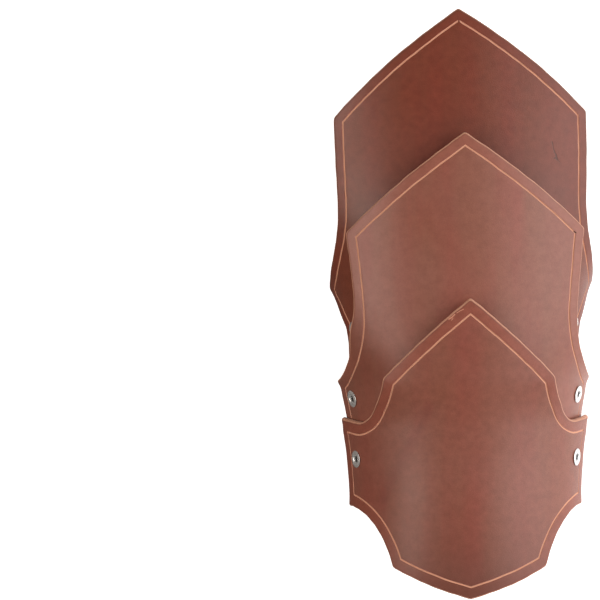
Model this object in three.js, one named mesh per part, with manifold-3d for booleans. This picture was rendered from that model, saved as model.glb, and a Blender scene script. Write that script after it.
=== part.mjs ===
// A leather forearm bracer of three overlapping shield-shaped plates, joined and laced through
// metal eyelets. It lies on its open back: X runs across the arm, Y along it with the elbow end
// at +Y, and Z points up from the surface that it lies on. All sizes are in millimetres.

import * as THREE from 'three';
import { mergeVertices } from 'three/addons/utils/BufferGeometryUtils.js';
import Module from 'manifold-3d';

const wasm = await Module();
wasm.setup();

// Leather
const leatherThickness = 2.5;
const edgeBevel = 0.7;
const grooveWidth = 1.2;
const grooveDepth = 0.6;
const footDepth = 0.5;
const outlineStep = 9.5;

// Rings of the mesh between the groove and the plate's middle, as shares of the way out
const ringShares = [0.86, 0.72, 0.58, 0.44, 0.3, 0.14];

// Eyelets
const boreRadius = 2.3;
const barrelRadius = 2.7;
const flangeRadius = 4.4;
const clinchRadius = 4.0;
const flangeRise = 1.1;
const holeClearance = 0.3;
const flangeClearance = 0.5;
const plateGap = 1.1;
const eyeletSides = 14;

// Shift that brings the middle of the whole over the origin
const shiftX = 1.28;
const shiftY = 0.8;

// Each plate has three things. outline is the right half of its pattern, from the apex down to
// the lower middle: across is measured round the bend from the ridge, along is the place on the
// arm, and bow is how far the edge to the next row bulges out, or in if it is negative.
// form is how the leather is bent: radius of the bend and height of the ridge. turn is how far
// the plate sits turned, in degrees, about the point on the ridge at turnAt.
const plates = {
  upper_plate: {
    grooveInset: 5.2,
    turn: 1.0,
    turnAt: -65,
    middle: 30,
    outline: [
      { across: 0, along: 142.8, bow: 1.9 },
      { across: 64.6, along: 91.9, bow: 0 },
      { across: 64.9, along: 55, bow: -8.0 },
      { across: 92, along: 8.8, bow: 0 },
      { across: 73.8, along: -11.1, bow: 0 },
      { across: 72.4, along: -19, bow: 0 },
      { across: 77, along: -50, bow: 0 },
      { across: 0, along: -60, bow: 0 },
    ],
    form: [
      { along: 143, radius: 140, ridge: 49 },
      { along: 92, radius: 130, ridge: 52 },
      { along: 55, radius: 112, ridge: 53.6 },
      { along: 31, radius: 88, ridge: 54.0 },
      { along: 8.8, radius: 67.3, ridge: 53.3 },
      { along: -11, radius: 63.6, ridge: 51.2 },
      { along: -28, radius: 61.3, ridge: 48.7 },
      { along: -46.5, radius: 58.7, ridge: 45.7 },
      { along: -62, radius: 56.6, ridge: 43.2 },
    ],
  },
  middle_plate: {
    grooveInset: 5.6,
    turn: 0.6,
    turnAt: -77,
    middle: -20,
    outline: [
      { across: 0, along: 82.3, bow: 1.0 },
      { across: 61.4, along: 35.1, bow: -0.4 },
      { across: 58.1, along: -2, bow: -10.4 },
      { across: 89, along: -38.5, bow: 0 },
      { across: 84, along: -57.5, bow: 0 },
      { across: 76, along: -65, bow: 0 },
      { across: 75, along: -90, bow: 0 },
      { across: 0, along: -100, bow: 0 },
    ],
    form: [
      { along: 82.5, radius: 120, ridge: 60.5 },
      { along: 35, radius: 112, ridge: 59.2 },
      { along: 0, radius: 98, ridge: 56.6 },
      { along: -20, radius: 83, ridge: 54.0 },
      { along: -39, radius: 64.2, ridge: 50.6 },
      { along: -46.5, radius: 62.0, ridge: 49.15 },
      { along: -57, radius: 60.1, ridge: 47.4 },
      { along: -65, radius: 58.7, ridge: 46.1 },
      { along: -77, radius: 57.2, ridge: 44.6 },
      { along: -101, radius: 55.4, ridge: 41.8 },
    ],
  },
  lower_plate: {
    grooveInset: 6.0,
    turn: 0,
    turnAt: 0,
    middle: -85,
    outline: [
      { across: 0, along: 2.3, bow: 0.6 },
      { across: 43.6, along: -36.4, bow: -0.8 },
      { across: 49.2, along: -49.4, bow: -0.6 },
      { across: 55.4, along: -56.3, bow: -0.4 },
      { across: 63.2, along: -58.8, bow: 0 },
      { across: 86.5, along: -57.2, bow: 0 },
      { across: 82, along: -101, bow: -9.8 },
      { across: 40.4, along: -129.3, bow: 0.9 },
      { across: 0, along: -144.4, bow: 0 },
    ],
    form: [
      { along: 3, radius: 105, ridge: 64.2 },
      { along: -36.5, radius: 92, ridge: 56.9 },
      { along: -50, radius: 71.5, ridge: 53.0 },
      { along: -57.2, radius: 63.6, ridge: 51.1 },
      { along: -65, radius: 62.1, ridge: 49.6 },
      { along: -77, radius: 60.6, ridge: 48.0 },
      { along: -101, radius: 59.6, ridge: 47.1 },
      { along: -129, radius: 66, ridge: 44.6 },
      { along: -144.5, radius: 70, ridge: 42.6 },
    ],
  },
};

// One eyelet on each wing of each plate. through names the plates that it passes, outer first.
const eyelets = [
  { name: 'upper_eyelet', across: 64.5, along: -12, through: ['upper_plate'] },
  { name: 'middle_eyelet', across: 69.6, along: -46.5, through: ['middle_plate', 'upper_plate'] },
  { name: 'lower_eyelet', across: 67.8, along: -77, through: ['lower_plate', 'middle_plate'] },
];

const leatherColor = 0x7d4536;
const metalColor = 0xc6c7c9;

// Bend of a plate at a place along the arm: a cubic through the rows of its form, whose slope at
// each row is that of the line between the rows on both sides of it.
function bendAt(form, along) {
  const top = form[0].along;
  const bottom = form[form.length - 1].along;
  const place = THREE.MathUtils.clamp(along, bottom, top);
  let row = 0;
  while (row < form.length - 2 && form[row + 1].along > place) {
    row += 1;
  }
  const from = form[row];
  const to = form[row + 1];
  const before = form[Math.max(row - 1, 0)];
  const after = form[Math.min(row + 2, form.length - 1)];
  const span = to.along - from.along;
  const share = (place - from.along) / span;
  const bend = {};
  for (const column of ['radius', 'ridge']) {
    const slopeFrom = (to[column] - before[column]) / (to.along - before.along);
    const slopeTo = (after[column] - from[column]) / (after.along - from.along);
    const rest = 1 - share;
    bend[column] = from[column] * (1 + 2 * share) * rest * rest
      + to[column] * share * share * (3 - 2 * share)
      + span * share * rest * (slopeFrom * rest - slopeTo * share);
  }
  return bend;
}

// Point of the outer face: a round arch that hangs from the ridge.
function facePoint(form, across, along) {
  const { radius, ridge } = bendAt(form, along);
  const angle = across / radius;
  return new THREE.Vector3(
    radius * Math.sin(angle),
    along,
    ridge - radius * (1 - Math.cos(angle)),
  );
}

function faceNormal(form, across, along) {
  const reach = 0.5;
  const sideways = facePoint(form, across + reach, along).sub(facePoint(form, across - reach, along));
  const lengthways = facePoint(form, across, along + reach).sub(facePoint(form, across, along - reach));
  return sideways.cross(lengthways).normalize();
}

// Point at a depth below the outer face. What would pass the surface underneath is flattened on it.
function leatherPoint(form, across, along, depth) {
  const point = facePoint(form, across, along);
  point.addScaledVector(faceNormal(form, across, along), -depth);
  point.z = Math.max(point.z, 0);
  return point;
}

// How far round the bend the leather can reach before it meets the surface that it lies on.
function reachToSurface(form, along) {
  const { radius, ridge } = bendAt(form, along);
  return radius * Math.acos(1 - ridge / radius) + footDepth;
}

// Points from one row of an outline up to the next, along a flat parabola as high as its bow.
function edgePoints(from, to) {
  const run = new THREE.Vector2(to.across - from.across, to.along - from.along);
  const outward = new THREE.Vector2(-run.y, run.x).normalize();
  const count = Math.max(1, Math.round(run.length() / outlineStep));
  const points = [];
  for (let index = 0; index < count; index += 1) {
    const share = index / count;
    const point = new THREE.Vector2(from.across, from.along).addScaledVector(run, share);
    points.push(point.addScaledVector(outward, 4 * from.bow * share * (1 - share)));
  }
  return points;
}

// The whole outline of a pattern, counterclockwise from the apex.
function patternLoop(plate) {
  const right = [];
  for (let row = 0; row < plate.outline.length - 1; row += 1) {
    right.push(...edgePoints(plate.outline[row], plate.outline[row + 1]));
  }
  const last = plate.outline[plate.outline.length - 1];
  right.push(new THREE.Vector2(last.across, last.along));
  for (const point of right) {
    point.x = Math.min(point.x, reachToSurface(plate.form, point.y));
  }
  const left = right.map((point) => new THREE.Vector2(-point.x, point.y));
  return [...left, ...right.slice(1, -1).reverse()];
}

// A loop moved inwards by a distance, with its corners kept sharp.
function insetLoop(loop, distance) {
  return loop.map((point, index) => {
    const before = loop[(index + loop.length - 1) % loop.length];
    const after = loop[(index + 1) % loop.length];
    const arriving = point.clone().sub(before).normalize();
    const leaving = after.clone().sub(point).normalize();
    const first = new THREE.Vector2(-arriving.y, arriving.x);
    const second = new THREE.Vector2(-leaving.y, leaving.x);
    const share = distance / (1 + first.dot(second));
    return point.clone().addScaledVector(first.add(second), share);
  });
}

function shrunkLoop(loop, middle, share) {
  return loop.map((point) => new THREE.Vector2(point.x * share, middle + (point.y - middle) * share));
}

// Rings of pattern points with the depth of each, from the middle of the outer face out over the
// groove and the bevelled edge, and back over the inner face to its middle.
function leatherRings(plate) {
  const loop = patternLoop(plate);
  const grooveInner = insetLoop(loop, plate.grooveInset + grooveWidth / 2);
  const rings = [];
  for (const share of [...ringShares].reverse()) {
    rings.push({ points: shrunkLoop(grooveInner, plate.middle, share), depth: 0 });
  }
  rings.push({ points: grooveInner, depth: 0 });
  rings.push({ points: insetLoop(loop, plate.grooveInset), depth: grooveDepth });
  rings.push({ points: insetLoop(loop, plate.grooveInset - grooveWidth / 2), depth: 0 });
  rings.push({ points: insetLoop(loop, edgeBevel), depth: 0 });
  rings.push({ points: loop, depth: edgeBevel });
  rings.push({ points: loop, depth: leatherThickness });
  rings.push({ points: grooveInner, depth: leatherThickness });
  for (const share of ringShares) {
    rings.push({ points: shrunkLoop(grooveInner, plate.middle, share), depth: leatherThickness });
  }
  return rings;
}

// A closed plate of leather: the rings joined by bands, and a fan over the middle of each face.
function plateGeometry(plate) {
  const rings = leatherRings(plate);
  const count = rings[0].points.length;
  const positions = [];
  const triangles = [];
  for (const ring of rings) {
    for (const point of ring.points) {
      positions.push(...leatherPoint(plate.form, point.x, point.y, ring.depth).toArray());
    }
  }
  for (let ring = 0; ring < rings.length - 1; ring += 1) {
    for (let index = 0; index < count; index += 1) {
      const here = ring * count + index;
      const next = ring * count + (index + 1) % count;
      triangles.push(here, here + count, next + count);
      triangles.push(here, next + count, next);
    }
  }
  const outerMiddle = rings.length * count;
  const innerMiddle = outerMiddle + 1;
  const lastRing = (rings.length - 1) * count;
  positions.push(...leatherPoint(plate.form, 0, plate.middle, 0).toArray());
  positions.push(...leatherPoint(plate.form, 0, plate.middle, leatherThickness).toArray());
  for (let index = 0; index < count; index += 1) {
    const next = (index + 1) % count;
    triangles.push(outerMiddle, index, next);
    triangles.push(innerMiddle, lastRing + next, lastRing + index);
  }
  const geometry = new THREE.BufferGeometry();
  geometry.setAttribute('position', new THREE.Float32BufferAttribute(positions, 3));
  geometry.setIndex(triangles);
  return geometry;
}

// The eyelet is one turned piece: a domed flange outside, a barrel through the leather, and the
// barrel's end rolled out inside. Its axis is +Y, and the leather's outer face is at height 0.
function eyeletGeometry(stack) {
  const top = flangeClearance;
  const bottom = -stack - flangeClearance;
  const profile = [
    [boreRadius, bottom - 0.4],
    [boreRadius + 0.8, bottom - 0.8],
    [clinchRadius, bottom - 0.3],
    [clinchRadius, bottom],
    [barrelRadius, bottom],
    [barrelRadius, top],
    [flangeRadius - 0.1, top],
    [flangeRadius, top + 0.25 * flangeRise],
    [flangeRadius - 0.4, top + 0.7 * flangeRise],
    [boreRadius + 0.9, top + flangeRise],
    [boreRadius + 0.35, top + flangeRise],
    [boreRadius, top + 0.7 * flangeRise],
    [boreRadius, bottom - 0.4],
  ];
  const points = profile.map(([radius, height]) => new THREE.Vector2(radius, height));
  return new THREE.LatheGeometry(points, eyeletSides);
}

function stackDepth(eyelet) {
  const count = eyelet.through.length;
  return count * leatherThickness + (count - 1) * plateGap;
}

// A closed mesh as a solid for cutting, placed by a matrix.
function asSolid(geometry, matrix) {
  const bare = geometry.clone().applyMatrix4(matrix);
  bare.deleteAttribute('normal');
  bare.deleteAttribute('uv');
  const merged = mergeVertices(bare, 1e-4);
  return new wasm.Manifold(new wasm.Mesh({
    numProp: 3,
    vertProperties: new Float32Array(merged.getAttribute('position').array),
    triVerts: new Uint32Array(merged.getIndex().array),
  }));
}

function asGeometry(solid) {
  const mesh = solid.getMesh();
  const geometry = new THREE.BufferGeometry();
  geometry.setAttribute('position', new THREE.Float32BufferAttribute(mesh.vertProperties, 3));
  geometry.setIndex(Array.from(mesh.triVerts));
  geometry.computeVertexNormals();
  return geometry;
}

// A seat holds a plate and its own eyelets, and turns them together.
function makeSeat(plate) {
  const seat = new THREE.Group();
  seat.position.set(shiftX, shiftY + plate.turnAt, 0);
  seat.rotation.z = THREE.MathUtils.degToRad(plate.turn);
  return seat;
}

function makeEyelet(eyelet, side) {
  const plate = plates[eyelet.through[0]];
  const material = new THREE.MeshStandardMaterial({ color: metalColor, roughness: 0.3, metalness: 1 });
  const mesh = new THREE.Mesh(eyeletGeometry(stackDepth(eyelet)), material);
  const sideName = side < 0 ? 'left' : 'right';
  mesh.name = `${eyelet.name}_${sideName}`;
  const across = side * eyelet.across;
  mesh.position.copy(facePoint(plate.form, across, eyelet.along));
  mesh.position.y -= plate.turnAt;
  const normal = faceNormal(plate.form, across, eyelet.along);
  mesh.quaternion.setFromUnitVectors(new THREE.Vector3(0, 1, 0), normal);
  return mesh;
}

function makePlate(name, eyeletMeshes, seat) {
  const plate = plates[name];
  const place = new THREE.Matrix4().makeTranslation(0, -plate.turnAt, 0);
  let leather = asSolid(plateGeometry(plate), place);
  const holeRadius = barrelRadius + holeClearance;
  const punch = new THREE.CylinderGeometry(holeRadius, holeRadius, 30, eyeletSides);
  const fromWorld = seat.matrixWorld.clone().invert();
  for (const eyelet of eyelets.filter((entry) => entry.through.includes(name))) {
    for (const mesh of eyeletMeshes[eyelet.name]) {
      const matrix = fromWorld.clone().multiply(mesh.matrixWorld);
      leather = leather.subtract(asSolid(punch, matrix));
    }
  }
  const material = new THREE.MeshStandardMaterial({ color: leatherColor, roughness: 0.5, metalness: 0 });
  const mesh = new THREE.Mesh(asGeometry(leather), material);
  mesh.name = name;
  return mesh;
}

const bracer = new THREE.Group();
const seats = {};
for (const name of Object.keys(plates)) {
  seats[name] = makeSeat(plates[name]);
  bracer.add(seats[name]);
}

const eyeletMeshes = {};
for (const eyelet of eyelets) {
  eyeletMeshes[eyelet.name] = [-1, 1].map((side) => makeEyelet(eyelet, side));
  seats[eyelet.through[0]].add(...eyeletMeshes[eyelet.name]);
}
bracer.updateMatrixWorld(true);

for (const name of Object.keys(plates)) {
  seats[name].add(makePlate(name, eyeletMeshes, seats[name]));
}

export default bracer;
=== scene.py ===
import math

import bpy
import numpy as np
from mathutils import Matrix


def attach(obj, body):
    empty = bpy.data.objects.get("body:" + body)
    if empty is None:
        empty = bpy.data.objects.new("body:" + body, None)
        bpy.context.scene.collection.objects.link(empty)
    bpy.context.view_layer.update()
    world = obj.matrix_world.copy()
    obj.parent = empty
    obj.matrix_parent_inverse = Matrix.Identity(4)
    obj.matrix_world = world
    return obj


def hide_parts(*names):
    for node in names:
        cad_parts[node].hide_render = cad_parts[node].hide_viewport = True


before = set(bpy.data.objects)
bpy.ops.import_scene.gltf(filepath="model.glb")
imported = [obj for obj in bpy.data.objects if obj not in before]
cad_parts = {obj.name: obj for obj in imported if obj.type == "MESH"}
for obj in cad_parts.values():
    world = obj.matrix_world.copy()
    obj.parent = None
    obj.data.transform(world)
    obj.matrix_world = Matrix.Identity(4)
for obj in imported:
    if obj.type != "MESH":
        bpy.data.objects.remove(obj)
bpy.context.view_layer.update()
print("frame loaded:", len(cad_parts), "nodes")

metre = 0.001  # tables are in millimetres, meshes in metres

leather = {
    "thickness": 2.5,
    "shiftX": 1.28,         # brings the whole over the origin
    "shiftY": 0.8,
    "footDepth": 0.5,       # how far the wings run on past the floor before they are flattened on it
    "step": 1.1,            # between points along the outline
    "fieldRings": 30,
    "backRings": 12,
    "fieldFromGroove": 0.95,
    "borderRings": (3.6, 2.4, 1.5),
    "grooveDepth": 0.42,
    "handWobble": 0.1,      # wander of the knife
    "grooveFromBack": 9.0,  # the groove's distance from the wings' back edges
    "swingFrom": 1.2,       # from this far in, up to 1 mm short of the groove, the rings swing to it
    "fullBeyond": 30,       # how far across the fuller cut starts
    "fullFades": 4,         # how far in from the edge it has faded out
    "relief": 0.12,
    "sharpAngle": 40,
}

# Of each plate
# turn: degrees about the ridge at turnAt; middle: where along the ridge the rings close
# outline: right half of the pattern from the apex down, as (across, along, bow of the edge to the next row)
# form: (along, radius of the bend, height of the ridge)
# fullLeft: how much fuller the left waist is cut, where along, and half its length
# bands: redder dye, as (across, half width, strength); streaks: the same beside a line
# paintedShade: painted shade where less light falls, as (across, along, half width, half length, strength);
# shadowAndDyeLines: the same beside a line, painted shadow under an overlapping plate's edge, and on the
# lower plate a darker dye streak
# marks: (start, end, width, wander, colour) of cracks and nicks
# red, brown, dusty, border: colours of the dye; mottle darkens them in spots
# roughness: least and most; edgeShare: how much of the cut edge is raw; rim: how dark the rim is
# shift: moves the streaks, so that no two plates have the same

upperPlate = {
    "grooveInset": 5.2,
    "turn": 1.0,
    "turnAt": -65,
    "middle": 30,
    "outline": [(0, 142.8, 1.9), (64.6, 91.9, 0), (64.9, 55, -8.0), (92, 8.8, 0), (73.8, -11.1, 0),
                (72.4, -19, 0), (77, -50, 0), (0, -60, 0)],
    "form": [(143, 140, 49), (92, 130, 52), (55, 112, 53.6), (31, 88, 54.0), (8.8, 67.3, 53.3),
             (-11, 63.6, 51.2), (-28, 61.3, 48.7), (-46.5, 58.7, 45.7), (-62, 56.6, 43.2)],
    "grooveGap": True,
    "seed": 3.0,
    "bands": [(-8, 19, 0.8), (26, 13, 0.4), (-48, 10, 0.4), (56, 10, 0.5)],
    # painted shade on the left wing, which gets less light
    "paintedShade": [(-82, 15, 8, 25, 0.20)],
    # painted shadow under the middle plate's raised edges
    "shadowAndDyeLines": [((0, 84), (-64, 37), 10, 0.22), ((0, 84), (64, 37), 9, 0.16)],
    "roughness": (0.30, 0.38),
    "red": (0.212, 0.039, 0.020, 1),
    "brown": (0.193, 0.046, 0.022, 1),
    "dusty": (0.206, 0.055, 0.032, 1),
    "border": (0.206, 0.045, 0.023, 1),
    "edgeShare": 0.55,
    "shift": 0.13,
    "mottle": (0.78, 0.76, 0.74, 1),
    "rim": 0.55,
    "specular": 0.41,
    "marks": [
        ((44.8, 76.7), (45.7, 72.5), 0.42, 1.6, "crack"),
        ((45.7, 72.5), (47.6, 68.2), 0.62, 1.8, "crack"),
        ((45.8, 68.9), (47.4, 69.0), 0.45, 0.8, "crack"),
        ((47.6, 68.2), (48.7, 66.9), 0.25, 1.0, "crack"),
    ],
}

middlePlate = {
    "grooveInset": 5.6,
    "turn": 0.6,
    "turnAt": -77,
    "middle": -20,
    "outline": [(0, 82.3, 1.0), (61.4, 35.1, -0.4), (58.1, -2, -10.4), (89, -38.5, 0), (84, -57.5, 0),
                (76, -65, 0), (75, -90, 0), (0, -100, 0)],
    "form": [(82.5, 120, 60.5), (35, 112, 59.2), (0, 98, 56.6), (-20, 83, 54.0), (-39, 64.2, 50.6),
             (-46.5, 62.0, 49.15), (-57, 60.1, 47.4), (-65, 58.7, 46.1), (-77, 57.2, 44.6),
             (-101, 55.4, 41.8)],
    "grooveGap": False,
    "fullLeft": (3.4, -14, 9),
    "seed": 11.0,
    "bands": [(-11, 9, 0.9), (5, 5, 0.25), (29, 7, 0.4), (51, 8, 0.6), (-47, 9, 0.5), (-63, 8, 0.5),
              (66, 8, 0.6)],
    # painted shade on the left waist and wing, which get less light
    "paintedShade": [(-60, -14, 8, 16, 0.30), (-53, -27, 10, 14, 0.20), (-72, -43, 10, 12, 0.18)],
    "roughness": (0.31, 0.39),
    "red": (0.295, 0.075, 0.049, 1),
    "brown": (0.266, 0.091, 0.055, 1),
    "dusty": (0.286, 0.104, 0.073, 1),
    "border": (0.307, 0.098, 0.062, 1),
    "edgeShare": 1.0,
    "shift": 0.41,
    "mottle": (0.82, 0.79, 0.78, 1),
    "rim": 0.2,
    "specular": 0.5,
    "marks": [((55.0, 33.4), (55.9, 32.9), 0.45, 0.5, "crack")],
}

lowerPlate = {
    "grooveInset": 6.0,
    "turn": 0,
    "turnAt": 0,
    "middle": -85,
    "outline": [(0, 2.3, 0.6), (43.6, -36.4, -0.8), (49.2, -49.4, -0.6), (55.4, -56.3, -0.4),
                (63.2, -58.8, 0), (86.5, -57.2, 0), (82, -101, -9.8), (40.4, -129.3, 0.9), (0, -144.4, 0)],
    "form": [(3, 105, 64.2), (-36.5, 92, 56.9), (-50, 71.5, 53.0), (-57.2, 63.6, 51.1), (-65, 62.1, 49.6),
             (-77, 60.6, 48.0), (-101, 59.6, 47.1), (-129, 66, 44.6), (-144.5, 70, 42.6)],
    "grooveGap": False,
    "seed": 23.0,
    "bands": [(-1, 8, 0.85), (-21, 5, 0.25), (34, 9, 0.45), (58, 9, 0.5), (-56, 11, 0.7), (75, 7, 0.5)],
    "streaks": [((-19.7, -50.5), (-47.5, -97.8), 2.6, 1.0)],
    # a darker dye streak along this line
    "shadowAndDyeLines": [((-19.7, -50.5), (-47.5, -97.8), 2.8, 0.2)],
    # painted shade towards the tip, which gets less light
    "paintedShade": [(0, -150, 60, 30, 0.62)],
    "roughness": (0.38, 0.47),
    "red": (0.270, 0.067, 0.042, 1),
    "brown": (0.251, 0.078, 0.046, 1),
    "dusty": (0.270, 0.089, 0.060, 1),
    "border": (0.280, 0.074, 0.043, 1),
    "edgeShare": 1.0,
    "shift": 0.77,
    "mottle": (0.80, 0.77, 0.75, 1),
    "rim": 0.35,
    "specular": 0.5,
    "marks": [
        ((-10.2, -7.8), (-8.6, -6.7), 0.42, 2.6, "nick"),
        ((-8.4, -6.3), (-7.4, -5.4), 0.42, 2.2, "nick"),
        ((-9.0, -8.4), (-8.2, -7.3), 0.26, 1.6, "nick"),
        ((-6.6, -4.9), (-3.4, -2.9), 0.22, 1.0, "nick"),
        ((82.4, -93.2), (82.4, -94.8), 0.5, 0.6, "crack"),
    ],
}

leatherMasks = ("edge", "groove", "back", "border", "redness", "shade")

# Rings of a plate's edge: (distance in from the edge, depth below the outer face, cut edge, flesh side)
edgeRings = [
    (0.95, 0.02, 0.0, 0.0), (0.68, 0.08, 0.55, 0.0), (0.38, 0.25, 1.0, 0.0), (0.17, 0.47, 1.0, 0.0),
    (0.04, 0.80, 1.0, 0.0), (0.0, 1.25, 1.0, 0.0), (0.0, 1.70, 1.0, 0.0), (0.06, 2.10, 1.0, 0.1),
    (0.25, 2.38, 0.9, 0.5), (0.60, 2.50, 0.3, 1.0), (1.10, 2.50, 0.0, 1.0), (3.00, 2.50, 0.0, 1.0),
]
# Rings of its groove: (distance from the middle line, share of the depth, groove colour)
grooveRings = [
    (0.80, -0.05, 0.0), (0.50, 0.0, 0.0), (0.37, 0.35, 1.0), (0.20, 0.90, 1.0), (0.0, 1.0, 1.0),
    (-0.20, 0.90, 1.0), (-0.37, 0.35, 1.0), (-0.50, 0.0, 0.0), (-0.80, -0.05, 0.0),
]


def bendAt(form, along):
    # Radius and ridge at each place: a cubic between rows, whose slope at a row is that of the line
    # joining the rows beside it
    rows = np.array(form, float)[::-1]
    place, value = rows[:, 0], rows[:, 1:]
    last = len(place) - 1
    above = np.minimum(np.arange(last + 1) + 1, last)
    below = np.maximum(np.arange(last + 1) - 1, 0)
    slope = (value[above] - value[below]) / (place[above] - place[below])[:, None]
    y = np.clip(along, place[0], place[-1])
    i = np.clip(np.searchsorted(place, y, side="right") - 1, 0, last - 1)
    span = (place[i + 1] - place[i])[..., None]
    u = (y - place[i])[..., None] / span
    bend = (value[i] * (1 + 2 * u) * (1 - u) ** 2 + value[i + 1] * u ** 2 * (3 - 2 * u)
            + span * u * (1 - u) * (slope[i] * (1 - u) - slope[i + 1] * u))
    return bend[..., 0], bend[..., 1]


def facePoint(form, across, along):
    # Round arch hanging from the ridge: x = R sin(across / R), z = ridge - R (1 - cos(across / R))
    radius, ridge = bendAt(form, along)
    angle = across / radius
    return np.stack([radius * np.sin(angle), along + 0 * across, ridge - radius * (1 - np.cos(angle))], -1)


def faceNormal(form, across, along):
    # Cross product of the two directions of the face, from points half a millimetre either side
    sideways = facePoint(form, across + 0.5, along) - facePoint(form, across - 0.5, along)
    lengthways = facePoint(form, across, along + 0.5) - facePoint(form, across, along - 0.5)
    normal = np.cross(sideways, lengthways)
    return normal / np.linalg.norm(normal, axis=-1, keepdims=True)


def seat(plate, points):
    # Turns points about the ridge's turning place, then shifts the whole over the origin
    turn = math.radians(plate["turn"])
    x, y, z = points[..., 0], points[..., 1] - plate["turnAt"], points[..., 2]
    return np.stack([
        x * math.cos(turn) - y * math.sin(turn) + leather["shiftX"],
        x * math.sin(turn) + y * math.cos(turn) + plate["turnAt"] + leather["shiftY"],
        z,
    ], -1)


def reliefAt(across, along):
    # Slight waves along the arm that the leather keeps from being bent: three sines of different lengths
    return leather["relief"] * (np.sin(across / 6.1 + 0.9 * np.sin(along / 37.0))
                                + 0.7 * np.sin(across / 10.7 + 1.3 + 0.6 * np.sin(along / 23.0))
                                + 0.5 * np.sin(along / 13.0 + across / 31.0)) / 2.2


def leatherPoints(plate, across, along, depth):
    # Point at a depth under the outer face, with the relief, flattened where it meets the floor
    normal = faceNormal(plate["form"], across, along)
    points = facePoint(plate["form"], across, along) + normal * (reliefAt(across, along) - depth)[..., None]
    points[..., 2] = np.maximum(points[..., 2], 0)
    return seat(plate, points)


def edgePoint(start, end, inset, u):
    # Parabola from one row to the next, moved in along its own normal:
    # start + run u + 4 bow u (1 - u) out - inset normal
    run = np.array([end[0] - start[0], end[1] - start[1]], float)
    out = np.array([-run[1], run[0]]) / np.hypot(*run)
    u = np.atleast_1d(u)[:, None]
    point = np.array(start[:2]) + run * u + out * (4 * start[2] * u * (1 - u))
    tangent = run + out * (4 * start[2] * (1 - 2 * u))
    tangent /= np.linalg.norm(tangent, axis=1, keepdims=True)
    return point - inset * np.stack([-tangent[:, 1], tangent[:, 0]], 1)


def cornerBetween(first, second, inset):
    # Where two moved edges meet, by Newton steps on (place on the first, place on the second)
    place, tiny = np.array([1.0, 0.0]), 1e-4
    for _ in range(14):
        miss = (edgePoint(*first, inset, place[0]) - edgePoint(*second, inset, place[1]))[0]
        onward = [(edgePoint(*edge, inset, at + tiny) - edgePoint(*edge, inset, at))[0] / tiny
                  for edge, at in zip((first, second), place)]
        place = place - np.linalg.solve(np.stack([onward[0], -onward[1]], 1), miss)
    return place


def outlineLoop(plate, inset):
    # The outline moved in, counterclockwise from the apex, with as many points whatever the inset
    rows = plate["outline"]
    edges = [(rows[i], rows[i + 1]) for i in range(len(rows) - 1)]
    mirroredFirst = ((-rows[1][0], rows[1][1], rows[0][2]), (0.0, rows[0][1], 0.0))
    mirroredLast = ((0.0, rows[-1][1], rows[-2][2]), (-rows[-2][0], rows[-2][1], 0.0))
    chain = [mirroredFirst] + edges + [mirroredLast]
    corners = [cornerBetween(chain[i], chain[i + 1], inset) for i in range(len(chain) - 1)]
    right = []
    for i, (start, end) in enumerate(edges):
        length = math.hypot(end[0] - start[0], end[1] - start[1])
        count = max(4, round(length / leather["step"]))
        u = np.linspace(corners[i][1], corners[i + 1][0], count, endpoint=False)
        right.append(edgePoint(start, end, inset, u))
    bottom = edgePoint(*edges[-1], inset, corners[-1][0])
    right = np.concatenate(right + [bottom])
    # the wings end at the floor; the rings swing over to the groove's distance from there
    radius, ridge = bendAt(plate["form"], right[:, 1])
    reach = radius * np.arccos(1 - ridge / radius) + leather["footDepth"]
    share = (inset - leather["swingFrom"]) / (plate["grooveInset"] - 1 - leather["swingFrom"])
    share = min(max(share, 0), 1)
    fromBack = inset + share * (leather["grooveFromBack"] - plate["grooveInset"])
    right[:, 0] = np.minimum(right[:, 0], reach - fromBack)
    left = right * (-1, 1)
    if "fullLeft" in plate:  # a bell curve that has faded out before the groove
        more, middle, width = plate["fullLeft"]
        bell = np.exp(-((left[:, 1] - middle) / width) ** 2) * (right[:, 0] > leather["fullBeyond"])
        left[:, 0] -= max(1 - inset / leather["fullFades"], 0) * more * bell
    return np.concatenate([left, right[1:-1][::-1]])


def softened(loop):
    # Corners rounded by one pass of a 1-2-1 mean round the loop
    return 0.25 * np.roll(loop, 1, 0) + 0.5 * loop + 0.25 * np.roll(loop, -1, 0)


def handCut(loop, seed, size):
    # Sideways wander of a hand-held knife, as a few sines of the distance round the loop
    step = np.roll(loop, -1, 0) - np.roll(loop, 1, 0)
    length = np.linalg.norm(step, axis=1, keepdims=True)
    inward = np.stack([-step[:, 1], step[:, 0]], 1) / length
    share = np.arange(len(loop)) / len(loop) * 2 * math.pi
    wander = sum(math.sin(seed * k) * np.sin(k * share + seed * k * 1.7) for k in (5, 9, 14, 23, 37, 61))
    return loop + inward * (size * (wander / 2.0))[:, None]


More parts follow.
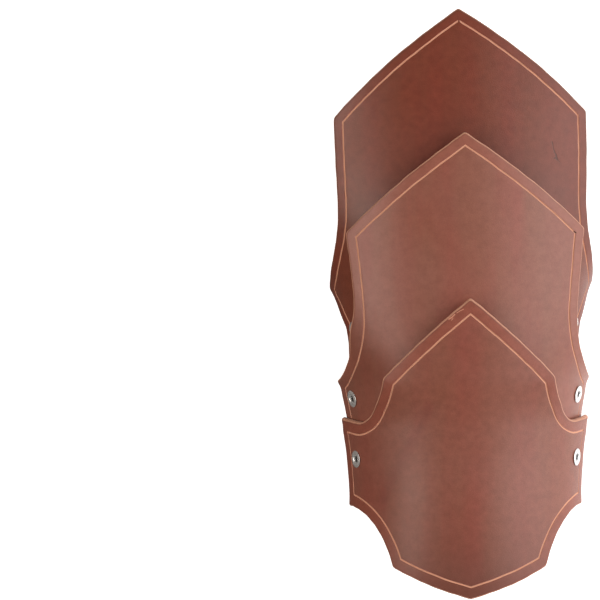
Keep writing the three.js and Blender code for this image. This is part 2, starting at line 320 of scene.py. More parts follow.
def plateRings(plate):
    # Every ring of a plate, from the middle of its outer face out over groove and edge, and back under
    # to the middle. border is 1 outside the groove and 2 on the rim
    inset, wobble, middle = plate["grooveInset"], leather["handWobble"], np.array([0, plate["middle"]])
    fieldEdge = handCut(outlineLoop(plate, inset + leather["fieldFromGroove"]), plate["seed"] + 1, wobble)
    count = len(fieldEdge)
    rings = []

    def addRing(loop, depth=0.0, edge=0.0, groove=0.0, back=0.0, border=0.0):
        rings.append({"loop": loop, "depth": depth, "edge": edge, "groove": groove, "back": back,
                      "border": border})

    for share in np.linspace(0, 1, leather["fieldRings"] + 1)[1:-1]:
        addRing(fieldEdge * share + middle * (1 - share))
    around = np.arange(count) / count * 2 * math.pi
    pressure = 1 + 0.12 * np.sin(17 * around + plate["seed"]) + 0.08 * np.sin(41 * around + 2 * plate["seed"])
    if plate["grooveGap"]:  # the knife was lifted at the apex
        pressure = pressure * (np.minimum(np.arange(count), count - np.arange(count)) > 0)
    for away, share, colour in grooveRings:
        loop = handCut(outlineLoop(plate, inset + away), plate["seed"] + 1, wobble)
        addRing(loop, leather["grooveDepth"] * share * pressure,
                groove=colour * np.minimum(pressure, 1), border=float(away < 0))
    for away in leather["borderRings"]:
        addRing(softened(outlineLoop(plate, away)), border=1.0)
    for away, depth, edge, back in edgeRings:
        loop = handCut(softened(outlineLoop(plate, away)), plate["seed"], wobble)
        addRing(loop, depth, edge=edge, back=back, border=2.0)
    for share in np.linspace(1, 0, leather["backRings"] + 1)[:-1]:
        addRing(fieldEdge * share + middle * (1 - share), leather["thickness"], back=1.0)
    return rings


def meshFromRings(name, rings, centres):
    # Quads between neighbouring rings and a fan over the middle of each face
    ringCount, count = rings.shape[:2]
    points = np.concatenate([rings.reshape(-1, 3), centres])
    here = (np.arange(ringCount - 1)[:, None] * count + np.arange(count)).ravel()
    following = (np.arange(ringCount - 1)[:, None] * count + np.roll(np.arange(count), -1)).ravel()
    quads = np.stack([here, here + count, following + count, following], 1)
    first = np.arange(count)
    second = np.roll(first, -1)
    lastRing = (ringCount - 1) * count
    top = np.full(count, ringCount * count)
    fans = np.concatenate([np.stack([top, first, second], 1),
                           np.stack([top + 1, lastRing + second, lastRing + first], 1)])
    mesh = bpy.data.meshes.new(name)
    mesh.from_pydata((points * metre).tolist(), [], quads.tolist() + fans.tolist())
    mesh.update()
    return mesh


def addMask(mesh, name, values):
    # A value for each point, which the material reads by its name
    made = mesh.attributes.new(name, "FLOAT", "POINT")
    made.data.foreach_set("value", np.ascontiguousarray(values, np.float32))


def addPattern(mesh, across, along):
    # UV map that holds the place on the pattern, in metres
    layer = mesh.uv_layers.new(name="pattern")
    corner = np.zeros(len(mesh.loops), np.int32)
    mesh.loops.foreach_get("vertex_index", corner)
    places = np.stack([across, along], 1)[corner] * metre
    layer.data.foreach_set("uv", places.astype(np.float32).ravel())


def bellBeside(across, along, start, end, width):
    # Bell curve of the distance from the line between two places
    run = np.subtract(end, start)
    share = np.clip(((across - start[0]) * run[0] + (along - start[1]) * run[1]) / run.dot(run), 0, 1)
    apart = np.hypot(across - start[0] - share * run[0], along - start[1] - share * run[1])
    return np.exp(-(apart / width) ** 2)


def rednessAt(plate, across, along):
    # Bands along the arm where the dye took redder: a bell curve across each, swaying along the arm
    sway = 2.0 * np.sin(along / 21.0 + plate["seed"]) + 1.2 * np.sin(along / 9.0 + 2 * plate["seed"])
    bands = [strength * np.exp(-((across + sway - middle) / width) ** 2)
             for middle, width, strength in plate["bands"]]
    for start, end, width, strength in plate.get("streaks", []):
        bands.append(strength * bellBeside(across, along, start, end, width))
    return np.clip(sum(bands), 0, 1)


def shadeAt(plate, across, along):
    # Painted shade as round bell curves, and long ones beside a line for painted shadow and for a darker dye
    # streak
    blooms = [strength * np.exp(-((across - x) / wide) ** 2 - ((along - y) / tall) ** 2)
              for x, y, wide, tall, strength in plate.get("paintedShade", [])]
    for start, end, width, strength in plate.get("shadowAndDyeLines", []):
        blooms.append(strength * bellBeside(across, along, start, end, width))
    return np.clip(sum(blooms, 0 * across), 0, 1)


def makePlateMesh(name, plate):
    # The rings bent over the arm, with every mask that the leather's material reads
    rings = plateRings(plate)
    loops = np.stack([ring["loop"] for ring in rings])

    def stacked(key):
        return np.stack([np.broadcast_to(ring[key], loops.shape[1]) for ring in rings])

    across, along = loops[..., 0], loops[..., 1]
    middle = np.array([0.0, 0.0])
    middleAlong = np.array([plate["middle"], plate["middle"]], float)
    points = leatherPoints(plate, across, along, stacked("depth"))
    centres = leatherPoints(plate, middle, middleAlong, np.array([0.0, leather["thickness"]]))
    mesh = meshFromRings(name, points, centres)
    for key in ("edge", "groove", "back", "border"):  # the inner face's middle is flesh side
        addMask(mesh, key, np.append(stacked(key).ravel(), [0, float(key == "back")]))
    allAcross, allAlong = np.append(across.ravel(), middle), np.append(along.ravel(), middleAlong)
    addMask(mesh, "redness", rednessAt(plate, allAcross, allAlong))
    addMask(mesh, "shade", shadeAt(plate, allAcross, allAlong))
    addPattern(mesh, allAcross, allAlong)
    return mesh


eyelet = {
    "boreRadius": 1.6,
    "barrelRadius": 2.7,
    "holeRadius": 2.8,
    "flangeRadius": 4.25,
    "clinchRadius": 4.0,
    "flangeRise": 0.5,
    "flangeAbove": 0.15,    # the flange's underside over the outer face
    "clinchBelow": 0.4,     # the rolled end's upper side under the inner face
    "plateGap": 1.1,        # between the two plates that it passes
    "around": 72,
    "punchAround": 40,
    "punchReach": (11, 6),  # of the bars that cut the holes, inwards and outwards
    "boreWidth": 0.12,      # profile points this close to the bore belong to it
    "plating": (0.86, 0.86, 0.85, 1),
    "tarnished": (0.62, 0.60, 0.57, 1),
    # dark grey of the bore: painted shade of the hole
    "boreShade": (0.17, 0.16, 0.15, 1),
    "boreRoughness": 0.6,
    "roughness": (0.16, 0.34),
    "metallic": 0.7,
    "sharpAngle": 60,
}

plates = {"upper": upperPlate, "middle": middlePlate, "lower": lowerPlate}

# (level, across, along, plates that it passes, outer first)
eyeletPlaces = [
    ("upper", 64.5, -12, ["upper"]),
    ("middle", 69.6, -46.5, ["middle", "upper"]),
    ("lower", 67.8, -77, ["lower", "middle"]),
]


def eyeletAxes(place, side):
    # Seat of an eyelet: its middle on the outer face, and three unit directions, the last one out of
    # the leather
    level, across, along, _ = place
    plate = plates[level]
    spot = (np.array([side * across]), np.array([float(along)]))
    centre = seat(plate, facePoint(plate["form"], *spot))[0]
    tip = seat(plate, facePoint(plate["form"], *spot) + faceNormal(plate["form"], *spot))[0]
    normal = tip - centre
    lengthways = np.array([0.0, 1.0, 0.0])
    lengthways = lengthways - normal * lengthways.dot(normal)
    lengthways /= np.linalg.norm(lengthways)
    return centre, np.cross(lengthways, normal), lengthways, normal


def roundCorner(start, corner, end, count):
    # Quadratic curve from start to end that is pulled towards the corner
    u = np.linspace(0, 1, count)[:, None]
    start, corner, end = np.array(start), np.array(corner), np.array(end)
    return (start * (1 - u) ** 2 + 2 * corner * u * (1 - u) + end * u ** 2).tolist()


def eyeletProfile(stack):
    # Closed profile (radius, height) of barrel, rolled end and flange, with every edge rounded
    bore, barrel = eyelet["boreRadius"], eyelet["barrelRadius"]
    flange, clinch, rise = eyelet["flangeRadius"], eyelet["clinchRadius"], eyelet["flangeRise"]
    top, bottom = eyelet["flangeAbove"], -stack - eyelet["clinchBelow"]
    corners = [
        ((bore, bottom + 0.6), (bore, bottom - 0.75), (bore + 0.75, bottom - 0.75), 5),
        ((bore + 0.95, bottom - 0.75), (clinch, bottom - 0.7), (clinch, bottom - 0.25), 5),
        ((clinch, bottom - 0.2), (clinch, bottom), (clinch - 0.25, bottom), 3),
        ((barrel, bottom), (barrel, (bottom + top) / 2), (barrel, top), 2),
        ((flange - 0.2, top), (flange, top), (flange, top + 0.2), 3),
        ((flange, top + 0.25), (flange - 0.1, top + 0.8 * rise), (flange - 0.85, top + 1.1 * rise), 6),
        ((bore + 1.25, top + 1.2 * rise), (bore + 0.25, top + 1.3 * rise), (bore, top - 1.3 * rise), 10),
    ]
    return sum((roundCorner(*corner) for corner in corners), [])


def makeEyeletMesh(name, place, side):
    # The profile carried round the axis: centre + r cos(t) a + r sin(t) b + h n
    centre, sideways, lengthways, normal = eyeletAxes(place, side)
    stack = len(place[3]) * leather["thickness"] + (len(place[3]) - 1) * eyelet["plateGap"]
    profile = np.array(eyeletProfile(stack))
    turn = np.arange(eyelet["around"]) / eyelet["around"] * 2 * math.pi
    radius, height = profile[:, 0][:, None, None], profile[:, 1][:, None, None]
    circle = np.cos(turn)[None, :, None] * sideways + np.sin(turn)[None, :, None] * lengthways
    points = centre + radius * circle + height * normal
    rows, count = points.shape[:2]
    row, column = np.arange(rows)[:, None], np.arange(count)[None, :]
    nextRow, nextColumn = (row + 1) % rows, (column + 1) % count
    quads = np.stack([row * count + column, row * count + nextColumn,
                      nextRow * count + nextColumn, nextRow * count + column], -1).reshape(-1, 4)
    mesh = bpy.data.meshes.new(name)
    mesh.from_pydata((points.reshape(-1, 3) * metre).tolist(), [], quads.tolist())
    mesh.update()
    addMask(mesh, "bore", np.repeat(profile[:, 0] < eyelet["boreRadius"] + eyelet["boreWidth"], count))
    return mesh


def makePunchMesh(level):
    # Round bars on the axes of all the eyelets that pass one plate; the cut they leave is raw edge
    count, (inwards, outwards) = eyelet["punchAround"], eyelet["punchReach"]
    turn = np.arange(count) / count * 2 * math.pi
    points, faces = [], []
    for place in eyeletPlaces:
        if level not in place[3]:
            continue
        for side in (-1, 1):
            centre, sideways, lengthways, normal = eyeletAxes(place, side)
            circle = np.cos(turn)[:, None] * sideways + np.sin(turn)[:, None] * lengthways
            circle = centre + eyelet["holeRadius"] * circle
            low = len(points) * count + np.arange(count)
            high = low + count
            points += [circle - inwards * normal, circle + outwards * normal]
            sides = np.stack([low, np.roll(low, -1), np.roll(high, -1), high], 1)
            faces += sides.tolist() + [low[::-1].tolist(), high.tolist()]
    mesh = bpy.data.meshes.new(level + "Punch")
    mesh.from_pydata((np.concatenate(points) * metre).tolist(), [], faces)
    mesh.update()
    for key in leatherMasks:
        addMask(mesh, key, np.full(len(mesh.vertices), float(key in ("edge", "border", "redness"))))
    return mesh


def punchHoles(mesh, level):
    # Cuts the eyelet holes and returns the cut mesh
    plateObject = bpy.data.objects.new("cutting", mesh)
    punch = bpy.data.objects.new("punch", makePunchMesh(level))
    for thing in (plateObject, punch):
        bpy.context.scene.collection.objects.link(thing)
    cut = plateObject.modifiers.new("holes", "BOOLEAN")
    cut.operation = "DIFFERENCE"
    cut.solver = "EXACT"
    cut.object = punch
    evaluated = plateObject.evaluated_get(bpy.context.evaluated_depsgraph_get())
    shaped = bpy.data.meshes.new_from_object(evaluated)
    for thing in (plateObject, punch):
        bpy.data.objects.remove(thing)
    return shaped


def smooth(mesh, angle):
    # Smooth shading, except at edges sharper than the angle in degrees
    mesh.shade_smooth()
    mesh.set_sharp_from_angle(angle=math.radians(angle))


def addNode(tree, kind, place, values=None, **settings):
    # Shader node with its settings, and fixed values for its inputs by name
    made = tree.nodes.new(kind)
    made.location = place
    for name, value in settings.items():
        setattr(made, name, value)
    for name, value in (values or {}).items():
        made.inputs[name].default_value = value
    return made


def feed(tree, entry, value):
    # Links an input to a socket, or sets it to a fixed value
    if isinstance(value, bpy.types.NodeSocket):
        tree.links.new(value, entry)
    else:
        entry.default_value = value


def mixColour(tree, place, factor, first, second, blend="MIX"):
    # Mix node of colours; factor, first and second are sockets or fixed values
    made = addNode(tree, "ShaderNodeMix", place, data_type="RGBA", blend_type=blend)
    for index, value in ((0, factor), (6, first), (7, second)):
        feed(tree, made.inputs[index], value)
    return made.outputs[2]


def maths(tree, place, operation, *values, clamp=False):
    # Math node of sockets or fixed values
    made = addNode(tree, "ShaderNodeMath", place, operation=operation, use_clamp=clamp)
    for index, value in enumerate(values):
        feed(tree, made.inputs[index], value)
    return made.outputs[0]


def vectorMaths(tree, place, operation, *values, scale=None):
    # Vector Math node of sockets or fixed values; a distance and a dot product are single numbers
    made = addNode(tree, "ShaderNodeVectorMath", place, operation=operation)
    for index, value in enumerate(values):
        feed(tree, made.inputs[index], value)
    if scale is not None:
        feed(tree, made.inputs["Scale"], scale)
    return made.outputs["Value" if operation in ("DISTANCE", "DOT_PRODUCT") else "Vector"]


def addNoise(tree, place, vector, scale, detail, roughness=0.5):
    # Noise texture over a place or a pattern
    made = addNode(tree, "ShaderNodeTexNoise", place,
                   {"Scale": scale, "Detail": detail, "Roughness": roughness})
    tree.links.new(vector, made.inputs["Vector"])
    return made.outputs


def remap(tree, place, value, low, high, toLow=0.0, toHigh=1.0):
    # Takes low to high over to toLow to toHigh in a straight line, held at the ends
    made = addNode(tree, "ShaderNodeMapRange", place,
                   {"From Min": low, "From Max": high, "To Min": toLow, "To Max": toHigh})
    tree.links.new(value, made.inputs["Value"])
    return made.outputs["Result"]


def newGroup(name, inputs, outputs):
    # Empty shader group with named sockets: inputs are (name, type, value), outputs are names
    tree = bpy.data.node_groups.new(name, "ShaderNodeTree")
    for title, kind, value in inputs:
        socket = tree.interface.new_socket(name=title, in_out="INPUT", socket_type="NodeSocket" + kind)
        if value is not None:
            socket.default_value = value
    for title in outputs:
        tree.interface.new_socket(name=title, in_out="OUTPUT", socket_type="NodeSocketFloat")
    start = addNode(tree, "NodeGroupInput", (-900, 0))
    end = addNode(tree, "NodeGroupOutput", (900, 0))
    return tree, start.outputs, end.inputs


def placeGroup(tree, group, place, **values):
    # Uses a group in a material, with sockets or fixed values for its inputs by name
    made = addNode(tree, "ShaderNodeGroup", place)
    made.node_tree = group
    for name, value in values.items():
        feed(tree, made.inputs[name], value)
    return made.outputs


def makeGrainGroup():
    # Fine pores of smooth tanned leather: cells broken up by two finer noises
    tree, given, wanted = newGroup(
        "leatherGrain",
        [("Place", "Vector", None), ("Cells", "Float", 1100.0), ("Roughening", "Float", 0.5)],
        ["Height", "Pores"])
    warp = addNoise(tree, (-700, 200), given["Place"], 400.0, 2.0)
    shift = vectorMaths(tree, (-520, 200), "SCALE", warp["Color"], scale=0.0006)
    moved = vectorMaths(tree, (-340, 200), "ADD", given["Place"], shift)
    cells = addNode(tree, "ShaderNodeTexVoronoi", (-160, 200), feature="DISTANCE_TO_EDGE")
    tree.links.new(moved, cells.inputs["Vector"])
    tree.links.new(given["Cells"], cells.inputs["Scale"])
    valleys = remap(tree, (40, 200), cells.outputs["Distance"], 0.0, 0.14)
    fine = addNoise(tree, (-160, -100), given["Place"], 2600.0, 4.0)
    rough = maths(tree, (240, -100), "MULTIPLY", fine["Fac"], given["Roughening"])
    tree.links.new(maths(tree, (440, 100), "ADD", valleys, rough), wanted["Height"])
    tree.links.new(maths(tree, (440, 260), "SUBTRACT", 1.0, valleys), wanted["Pores"])
    return tree


def makeStreakGroup():
    # Soft streaks along the arm, broad clouds and fine spots, all from noise on the pattern
    tree, given, wanted = newGroup(
        "softStreaks",
        [("Pattern", "Vector", None), ("Shift", "Float", 0.0)],
        ["Streak", "Cloud", "Mottle"])
    moved = vectorMaths(tree, (-700, 0), "ADD", given["Pattern"], given["Shift"])
    longWay = addNode(tree, "ShaderNodeMapping", (-500, 150), {"Scale": (95.0, 9.0, 1.0)})
    tree.links.new(moved, longWay.inputs["Vector"])
    streak = addNoise(tree, (-300, 150), longWay.outputs["Vector"], 1.0, 3.0, 0.45)
    cloud = addNoise(tree, (-300, -150), moved, 22.0, 4.0, 0.55)
    mottle = addNoise(tree, (-300, -450), moved, 260.0, 5.0, 0.65)
    tree.links.new(remap(tree, (0, -450), mottle["Fac"], 0.3, 0.7), wanted["Mottle"])
    tree.links.new(remap(tree, (0, 150), streak["Fac"], 0.34, 0.66), wanted["Streak"])
    tree.links.new(remap(tree, (0, -150), cloud["Fac"], 0.32, 0.68), wanted["Cloud"])
    return tree


def makeScratchGroup():
    # Mask of one short scratch: distance from the line between two pattern points, warped by noise
    tree, given, wanted = newGroup(
        "scratchMark",
        [("Pattern", "Vector", None), ("Start", "Vector", None), ("End", "Vector", None),
         ("Width", "Float", 0.0004), ("Wander", "Float", 0.001)],
        ["Mask"])
    noise = addNoise(tree, (-900, 300), given["Pattern"], 330.0, 3.0)
    centred = vectorMaths(tree, (-720, 300), "SUBTRACT", noise["Color"], (0.5, 0.5, 0.5))
    wandering = vectorMaths(tree, (-540, 300), "SCALE", centred, scale=given["Wander"])
    moved = vectorMaths(tree, (-360, 300), "ADD", given["Pattern"], wandering)
    flat = vectorMaths(tree, (-180, 300), "MULTIPLY", moved, (1, 1, 0))
    fromStart = vectorMaths(tree, (0, 300), "SUBTRACT", flat, given["Start"])
    run = vectorMaths(tree, (0, 100), "SUBTRACT", given["End"], given["Start"])
    over = vectorMaths(tree, (180, 300), "DOT_PRODUCT", fromStart, run)
    square = vectorMaths(tree, (180, 100), "DOT_PRODUCT", run, run)
    share = maths(tree, (360, 200), "DIVIDE", over, square, clamp=True)
    nearest = vectorMaths(tree, (540, 100), "SCALE", run, scale=share)
    apart = vectorMaths(tree, (720, 200), "DISTANCE", fromStart, nearest)
    ratio = maths(tree, (720, 0), "DIVIDE", apart, given["Width"])
    tree.links.new(remap(tree, (720, -150), ratio, 1.0, 0.45), wanted["Mask"])
    return tree


def makeWearGroup():
    # Raw colour showing at the cut: the edge mask made ragged by noise
    tree, given, wanted = newGroup(
        "edgeWear",
        [("Place", "Vector", None), ("Edge", "Float", 0.0), ("Raggedness", "Float", 0.5)],
        ["Mask"])
    noise = addNoise(tree, (-500, 0), given["Place"], 900.0, 5.0, 0.7)
    centred = maths(tree, (-300, 0), "SUBTRACT", noise["Fac"], 0.5)
    ragged = maths(tree, (-100, 0), "MULTIPLY", centred, given["Raggedness"])
    total = maths(tree, (100, 0), "ADD", given["Edge"], ragged)
    tree.links.new(remap(tree, (300, 0), total, 0.35, 0.75), wanted["Mask"])
    return tree


grainGroup = makeGrainGroup()
streakGroup = makeStreakGroup()
scratchGroup = makeScratchGroup()
wearGroup = makeWearGroup()

# What all three plates share
finish = {
    "groove": (0.63, 0.31, 0.20, 1),
    "cutEdge": (0.60, 0.30, 0.19, 1),
    "burnishedAndShade": (0.10, 0.035, 0.022, 1),
    "back": (0.36, 0.22, 0.14, 1),
    "backDark": (0.27, 0.155, 0.095, 1),
    "crack": (0.10, 0.032, 0.020, 1),
    "nick": (0.58, 0.25, 0.15, 1),
    "pore": (0.55, 0.47, 0.45, 1),
    "poreShare": 0.14,
    "poreRoughness": 0.12,
    "edgeRaggedness": 0.35,
    "lineRaggedness": 0.55,
    "streakSwing": 0.95,   # how far the streaks take the dye from brown to red
    "dustyShare": 0.45,
    "markDepth": 4.0,      # this and the next two as multiples of the grain's height
    "fleshHeight": 7.0,
    "edgeHeight": 3.0,
    "bumpStrength": 0.35,
    "bumpDistance": 0.00006,
    "dullRoughness": 0.38,
}


def makeLeather(name, values):
    # Dye over the whole, darkened on the rim, by painted shade and by one darker dye streak, then pores,
    # flesh side, cut edge, groove and marks laid over it by their masks
    made = bpy.data.materials.new(name)
    made.use_nodes = True
    tree = made.node_tree
    tree.nodes.clear()
    link = tree.links.new
    place = addNode(tree, "ShaderNodeTexCoord", (-1800, 200)).outputs["Object"]
    pattern = addNode(tree, "ShaderNodeUVMap", (-1800, -100), uv_map="pattern").outputs["UV"]
    masks = {}
    for row, key in enumerate(leatherMasks):
        mask = addNode(tree, "ShaderNodeAttribute", (-1800, -350 - 180 * row), attribute_name=key)
        masks[key] = mask.outputs["Fac"]

    grain = placeGroup(tree, grainGroup, (-1400, 500), Place=place)
    soft = placeGroup(tree, streakGroup, (-1400, 150), Pattern=pattern, Shift=values["shift"])
    wear = placeGroup(tree, wearGroup, (-1400, -200), Place=place, Edge=masks["edge"],
                      Raggedness=finish["edgeRaggedness"])["Mask"]
    lineWear = placeGroup(tree, wearGroup, (-1400, -450), Place=place, Edge=masks["groove"],
                          Raggedness=finish["lineRaggedness"])["Mask"]

    centred = maths(tree, (-1300, 250), "SUBTRACT", soft["Streak"], 0.5)
    swing = maths(tree, (-1300, 350), "MULTIPLY", centred, finish["streakSwing"])
    red = maths(tree, (-1200, 300), "ADD", swing, masks["redness"], clamp=True)
    colour = mixColour(tree, (-1100, 200), red, values["brown"], values["red"])
    dusty = maths(tree, (-1100, 0), "MULTIPLY", soft["Cloud"], finish["dustyShare"])
    colour = mixColour(tree, (-900, 200), dusty, colour, values["dusty"])
    outside = maths(tree, (-1100, 500), "MINIMUM", masks["border"], 1.0)
    colour = mixColour(tree, (-900, 350), outside, colour, values["border"])
    colour = mixColour(tree, (-900, 700), soft["Mottle"], colour, values["mottle"], "MULTIPLY")
    # Dark brown over the rim and over the shade mask: painted shade where less light falls and painted shadow
    # under overlapping plates, plus the lower plate's darker dye streak
    onRim = maths(tree, (-1300, 900), "SUBTRACT", masks["border"], 1.0, clamp=True)
    rim = maths(tree, (-1100, 900), "MULTIPLY", onRim, values["rim"])
    darkened = maths(tree, (-1000, 1000), "MAXIMUM", rim, masks["shade"])
    colour = mixColour(tree, (-900, 900), darkened, colour, finish["burnishedAndShade"])
    pores = maths(tree, (-900, 500), "MULTIPLY", grain["Pores"], finish["poreShare"])
    colour = mixColour(tree, (-700, 200), pores, colour, finish["pore"], "MULTIPLY")

    fleshNoise = addNoise(tree, (-900, -700), place, 700.0, 5.0, 0.75)["Fac"]
    flesh = mixColour(tree, (-700, -700), fleshNoise, finish["backDark"], finish["back"])
    raw = mixColour(tree, (-700, -450), values["edgeShare"], finish["burnishedAndShade"], finish["cutEdge"])
    edgeNoise = addNoise(tree, (-900, -450), place, 420.0, 4.0)["Fac"]
    halfNoise = maths(tree, (-700, -600), "MULTIPLY", edgeNoise, 0.5)
    raw = mixColour(tree, (-500, -450), halfNoise, raw, values["brown"])

    colour = mixColour(tree, (-500, 200), masks["back"], colour, flesh)
    colour = mixColour(tree, (-300, 200), wear, colour, raw)
    colour = mixColour(tree, (-100, 200), lineWear, colour, finish["groove"])
    marked = None
    for row, (start, end, width, wander, shade) in enumerate(values["marks"]):
        level = 700 + 220 * row
        mask = placeGroup(tree, scratchGroup, (-500, level), Pattern=pattern,
                          Start=(start[0] * metre, start[1] * metre, 0),
                          End=(end[0] * metre, end[1] * metre, 0),
                          Width=width * metre, Wander=wander * metre)["Mask"]
        onFace = maths(tree, (-300, level), "SUBTRACT", mask, masks["back"], clamp=True)
        colour = mixColour(tree, (100 + 200 * row, 200), onFace, colour, finish[shade])
        marked = onFace if row == 0 else maths(tree, (-100, level), "MAXIMUM", marked, onFace)

    depth = maths(tree, (-500, -100), "MULTIPLY", marked, finish["markDepth"])
    height = maths(tree, (-300, -100), "SUBTRACT", grain["Height"], depth)
    fleshRise = maths(tree, (-700, -900), "MULTIPLY", masks["back"], finish["fleshHeight"])
    fleshRise = maths(tree, (-500, -900), "MULTIPLY", fleshNoise, fleshRise)
    edgeRise = maths(tree, (-500, -1100), "MULTIPLY", wear, finish["edgeHeight"])
    edgeRise = maths(tree, (-300, -900), "MULTIPLY", edgeNoise, edgeRise)
    rise = maths(tree, (-100, -900), "ADD", fleshRise, edgeRise)
    height = maths(tree, (-100, -100), "ADD", height, rise)
    bump = addNode(tree, "ShaderNodeBump", (700, -200),
                   {"Strength": finish["bumpStrength"], "Distance": finish["bumpDistance"]})
    link(height, bump.inputs["Height"])

    gloss = remap(tree, (300, -50), soft["Cloud"], 0.0, 1.0, *values["roughness"])
    inPores = maths(tree, (300, -300), "MULTIPLY", grain["Pores"], finish["poreRoughness"])
    gloss = maths(tree, (500, -50), "ADD", gloss, inPores)
    cut = maths(tree, (100, -500), "MAXIMUM", wear, lineWear)
    dull = maths(tree, (300, -500), "MAXIMUM", masks["back"], cut)
    dull = maths(tree, (500, -500), "MULTIPLY", dull, finish["dullRoughness"])
    gloss = maths(tree, (700, -50), "ADD", gloss, dull, clamp=True)

    shader = addNode(tree, "ShaderNodeBsdfPrincipled", (1300, 200),
                     {"Sheen Weight": 0.12, "Sheen Roughness": 0.45, "Sheen Tint": (1.0, 0.82, 0.76, 1),
                      "IOR": 1.47, "Specular IOR Level": values["specular"]})
    output = addNode(tree, "ShaderNodeOutputMaterial", (1700, 200))
    link(colour, shader.inputs["Base Color"])
    link(gloss, shader.inputs["Roughness"])
    link(bump.outputs["Normal"], shader.inputs["Normal"])
    link(shader.outputs["BSDF"], output.inputs["Surface"])
    return made


def makeEyeletMetal():
    # Plated metal with faint turning marks and dulled spots, and painted shade inside the bore
    made = bpy.data.materials.new("eyeletPlating")
    made.use_nodes = True
    tree = made.node_tree
    tree.nodes.clear()
    link = tree.links.new
    place = addNode(tree, "ShaderNodeTexCoord", (-1000, 0)).outputs["Object"]
    spots = addNoise(tree, (-800, 150), place, 700.0, 4.0, 0.65)["Fac"]
    marks = addNoise(tree, (-800, -150), place, 2600.0, 3.0)["Fac"]
    tarnish = remap(tree, (-600, 150), spots, 0.45, 0.75)
    colour = mixColour(tree, (-400, 150), tarnish, eyelet["plating"], eyelet["tarnished"])
    gloss = remap(tree, (-400, -50), spots, 0.3, 0.7, *eyelet["roughness"])
    bump = addNode(tree, "ShaderNodeBump", (-400, -300), {"Strength": 0.25, "Distance": 0.00003})
    link(marks, bump.inputs["Height"])
    # Painted shade: the bore's inner wall is dark grey and dull, standing in for the hole's shade
    bore = addNode(tree, "ShaderNodeAttribute", (-600, -150), attribute_name="bore").outputs["Fac"]
    colour = mixColour(tree, (-200, 150), bore, colour, eyelet["boreShade"])
    dull = maths(tree, (-400, -150), "MULTIPLY", bore, eyelet["boreRoughness"])
    gloss = maths(tree, (-200, -50), "MAXIMUM", gloss, dull)
    shader = addNode(tree, "ShaderNodeBsdfPrincipled", (0, 0), {"Metallic": eyelet["metallic"]})
    output = addNode(tree, "ShaderNodeOutputMaterial", (350, 0))
    link(colour, shader.inputs["Base Color"])
    link(gloss, shader.inputs["Roughness"])
    link(bump.outputs["Normal"], shader.inputs["Normal"])
    link(shader.outputs["BSDF"], output.inputs["Surface"])
    return made


def addPiece(name, mesh, material, node):
    # A visible piece on the one body, in place of a node of the part
    mesh.materials.clear()
    mesh.materials.append(material)
    piece = bpy.data.objects.new(name, mesh)
    bpy.context.scene.collection.objects.link(piece)
    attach(piece, "root")
    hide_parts(node)
    return piece


for level, plate in plates.items():
    mesh = punchHoles(makePlateMesh(level + "Leather", plate), level)
    smooth(mesh, leather["sharpAngle"])
    addPiece(level + "Leather", mesh, makeLeather(level + "Leather", plate), level + "_plate")
    print(level, "plate:", len(mesh.polygons), "faces")

plating = makeEyeletMetal()
for place in eyeletPlaces:
    for side, sideName in ((-1, "left"), (1, "right")):
        name = place[0] + "Eyelet" + sideName.capitalize()
        mesh = makeEyeletMesh(name, place, side)
        smooth(mesh, eyelet["sharpAngle"])
        addPiece(name, mesh, plating, place[0] + "_eyelet_" + sideName)
print("eyelets placed")

# The sky is brighter on the right, and the floor glows there as painted light. On the left the floor is
# dark to all but the camera, which sees it pale everywhere: painted shade, seen only in reflections and
# bounced light
studio = {
    "floorHalf": 4.0,
    "floorUnder": 0.0001,
    "floorColour": (0.95, 0.95, 0.95, 1),
    "floorShade": (0.07, 0.06, 0.055, 1),
    "floorGlow": 0.7,
    "rightGlow": 0.55,
    "floorTurns": (-0.03, 0.05),  # the X where the dark floor ends and the one where it is all pale
    "skyLeft": 0.04,
    "skyRight": 0.42,
    "skyTurns": (-0.35, 0.6),     # the X of the directions where the sky starts and stops brightening
    "aim": (0, 0, 0.03),
}

# (name, place, size, power, mirrored in glossy faces, colour)
softboxes = [
    ("keySoftbox", (0.66, 0.00, 0.80), (0.9, 0.55), 4.1, True, (1, 1, 1)),
    ("rightSoftbox", (0.95, 0.00, 0.38), (1.2, 0.7), 7.0, True, (1, 1, 1)),
    ("leftSoftbox", (-0.80, -0.05, 0.62), (0.9, 0.34), 6.3, True, (1.0, 0.91, 0.83)),
    ("topSoftbox", (-0.10, 0.00, 1.45), (0.8, 0.8), 2.3, False, (1, 1, 1)),
]


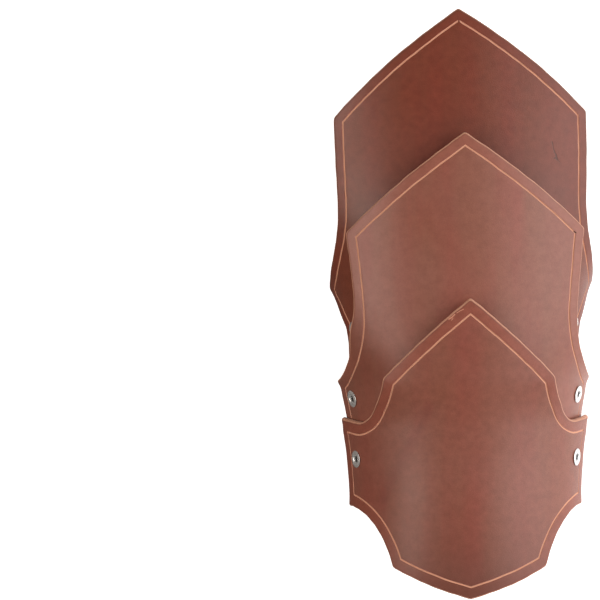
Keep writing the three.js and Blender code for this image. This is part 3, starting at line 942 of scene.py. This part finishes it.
def makeFloor():
    # Flat square just under the bracer
    mesh = bpy.data.meshes.new("floor")
    half, under = studio["floorHalf"], studio["floorUnder"]
    corners = [(-half, -half, -under), (half, -half, -under), (half, half, -under), (-half, half, -under)]
    mesh.from_pydata(corners, [], [(0, 1, 2, 3)])
    made = bpy.data.materials.new("paleFloor")
    made.use_nodes = True
    tree = made.node_tree
    shader = tree.nodes["Principled BSDF"]
    shader.inputs["Roughness"].default_value = 0.8
    shader.inputs["Emission Color"].default_value = (1, 1, 1, 1)
    seen = addNode(tree, "ShaderNodeLightPath", (-900, 0)).outputs["Is Camera Ray"]
    apart = addNode(tree, "ShaderNodeSeparateXYZ", (-900, 200))
    tree.links.new(addNode(tree, "ShaderNodeTexCoord", (-1100, 200)).outputs["Object"], apart.inputs[0])
    # Painted shade: the floor left of the bracer is dark to every ray but the camera's; painted light: it
    # glows on the right
    onRight = remap(tree, (-700, 200), apart.outputs["X"], *studio["floorTurns"])
    lit = maths(tree, (-500, 100), "MAXIMUM", seen, onRight)
    colour = mixColour(tree, (-300, 100), lit, studio["floorShade"], studio["floorColour"])
    tree.links.new(colour, shader.inputs["Base Color"])
    glow = maths(tree, (-300, -100), "MULTIPLY", seen, studio["floorGlow"])
    glowRight = maths(tree, (-300, -250), "MULTIPLY", onRight, studio["rightGlow"])
    glow = maths(tree, (-150, -100), "MAXIMUM", glow, glowRight)
    tree.links.new(glow, shader.inputs["Emission Strength"])
    mesh.materials.append(made)
    floor = bpy.data.objects.new("floor", mesh)
    bpy.context.scene.collection.objects.link(floor)


def makeSky():
    # White world whose strength rises from left to right
    world = bpy.data.worlds.new("studio")
    world.use_nodes = True
    tree = world.node_tree
    background = tree.nodes["Background"]
    background.inputs["Color"].default_value = (1, 1, 1, 1)
    way = addNode(tree, "ShaderNodeSeparateXYZ", (-600, 0))
    tree.links.new(addNode(tree, "ShaderNodeTexCoord", (-800, 0)).outputs["Generated"], way.inputs[0])
    strength = remap(tree, (-400, 0), way.outputs["X"], *studio["skyTurns"],
                     studio["skyLeft"], studio["skyRight"])
    tree.links.new(strength, background.inputs["Strength"])
    bpy.context.scene.world = world


def addSoftbox(name, place, size, power, mirrored, colour):
    # Rectangular light turned to face the aim, its lower edge level
    light = bpy.data.lights.new(name, "AREA")
    light.color = colour
    light.shape = "RECTANGLE"
    light.size, light.size_y = size
    light.energy = power
    box = bpy.data.objects.new(name, light)
    box.visible_glossy = mirrored
    box.location = place
    towards = np.array(studio["aim"], float) - np.array(place, float)
    tilt = math.atan2(math.hypot(towards[0], towards[1]), -towards[2])
    box.rotation_euler = (tilt, 0, math.atan2(towards[1], towards[0]) - math.pi / 2)
    bpy.context.scene.collection.objects.link(box)


makeFloor()
makeSky()
for softbox in softboxes:
    addSoftbox(*softbox)
bpy.context.scene.view_settings.view_transform = "Standard"

view = {"height": 1.5, "overX": -0.0804, "overY": 0.0029, "roll": -0.57, "lens": 180.0, "sensor": 36.0}
camera = bpy.data.cameras.new("camera")
camera.lens = view["lens"]
camera.sensor_width = view["sensor"]
camera.clip_end = 20.0
cameraObject = bpy.data.objects.new("camera", camera)
cameraObject.location = (view["overX"], view["overY"], view["height"])
cameraObject.rotation_euler = (0, 0, math.radians(view["roll"]))
bpy.context.scene.collection.objects.link(cameraObject)
bpy.context.scene.camera = cameraObject
print("studio set")
